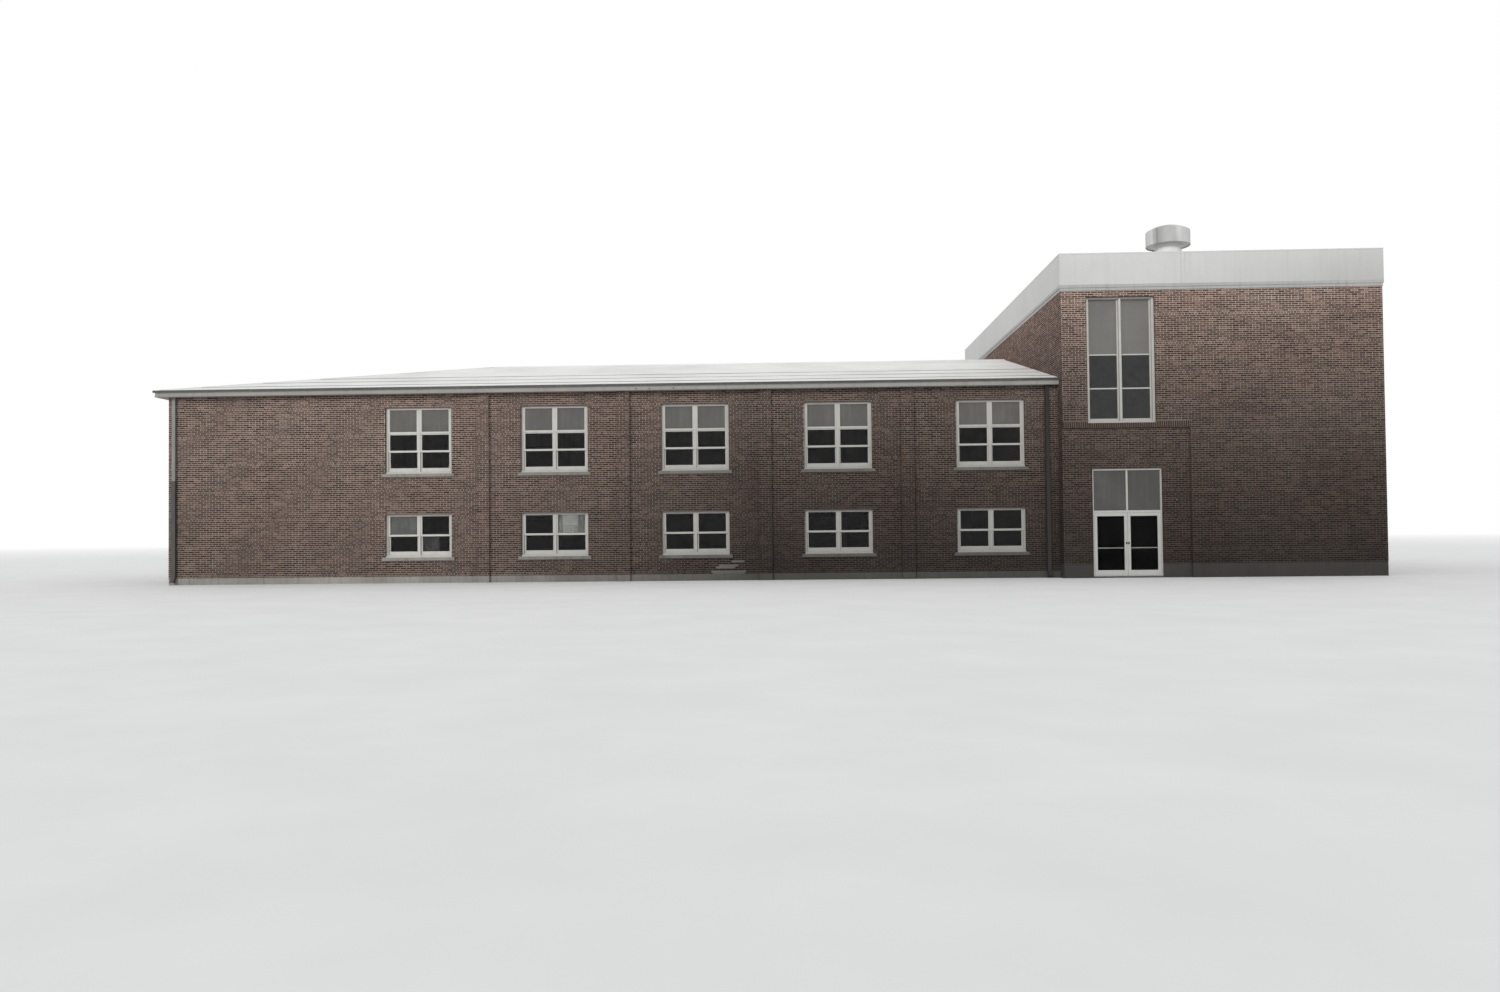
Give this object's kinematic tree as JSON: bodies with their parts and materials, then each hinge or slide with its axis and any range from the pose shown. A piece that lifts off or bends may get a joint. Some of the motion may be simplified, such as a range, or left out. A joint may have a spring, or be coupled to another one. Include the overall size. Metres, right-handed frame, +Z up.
{
  "type": "school building",
  "caption": "Brick school building: a low two-storey wing with pilasters, paired windows and a hipped roof, joined to a taller flat-roofed hall with glazed entrance doors.",
  "frame": {"origin": "on the ground under the middle of the building's plan", "axes": "+X runs along the front to the right, +Y from the front to the back, +Z up"},
  "size_m": [39.17, 18.48, 11.4286],
  "materials": {
    "brick": "matte",
    "concrete": "matte",
    "masonry_sill": "matte",
    "painted_wood": "satin",
    "window_glass": "gloss",
    "infill_panel": "satin",
    "roofing": "matte",
    "deck_membrane": "matte",
    "cladding": "satin",
    "cladding_trim": "satin",
    "door_paint": "satin",
    "bar_metal": "satin",
    "vent_metal": "satin",
    "downspout_metal": "satin"
  },
  "bodies": {
    "building": {"boxed_eaves": "painted_wood", "downspouts": "downspout_metal", "entrance_frame": "door_paint", "front_infill_panels": "infill_panel", "front_window_frames": "painted_wood", "front_window_glass": "window_glass", "front_window_sashes": "painted_wood", "front_window_sills": "masonry_sill", "hall_base": "concrete", "hall_floor": "concrete", "hall_front_wall": "brick", "hall_left_pier": "brick", "hall_left_wall": "brick", "hall_rear_wall": "brick", "hall_right_pier": "brick", "hall_right_wall": "brick", "hall_roof_deck": "deck_membrane", "parapet_band": "cladding", "parapet_trim": "cladding_trim", "rear_infill_panels": "infill_panel", "rear_window_frames": "painted_wood", "rear_window_glass": "window_glass", "rear_window_sashes": "painted_wood", "rear_window_sills": "masonry_sill", "roof_caps": "roofing", "stair_window_frames": "painted_wood", "stair_window_glass": "window_glass", "stair_window_panels": "infill_panel", "transom_panels": "infill_panel", "vent_curb": "vent_metal", "vent_hood": "vent_metal", "vent_throat": "vent_metal", "wing_foundation": "concrete", "wing_front_wall": "brick", "wing_left_wall": "brick", "wing_rear_wall": "brick", "wing_roof_front": "roofing", "wing_roof_hip": "roofing", "wing_roof_rear": "roofing", "wing_upper_floor": "concrete"},
    "left_door": {"left_door_glass": "window_glass", "left_door_leaf": "door_paint", "left_push_bar": "bar_metal"},
    "right_door": {"right_door_glass": "window_glass", "right_door_leaf": "door_paint", "right_push_bar": "bar_metal"}
  },
  "joints": [
    {"name": "left_door_hinge", "type": "hinge", "parent": "building", "child": "left_door", "pos_m": [10.5975, -9.05, 1.05], "axis": [0, 0, -1], "range_deg": [0, 90]},
    {"name": "right_door_hinge", "type": "hinge", "parent": "building", "child": "right_door", "pos_m": [12.6625, -9.05, 1.05], "axis": [0, 0, 1], "range_deg": [0, 90]}
  ]
}
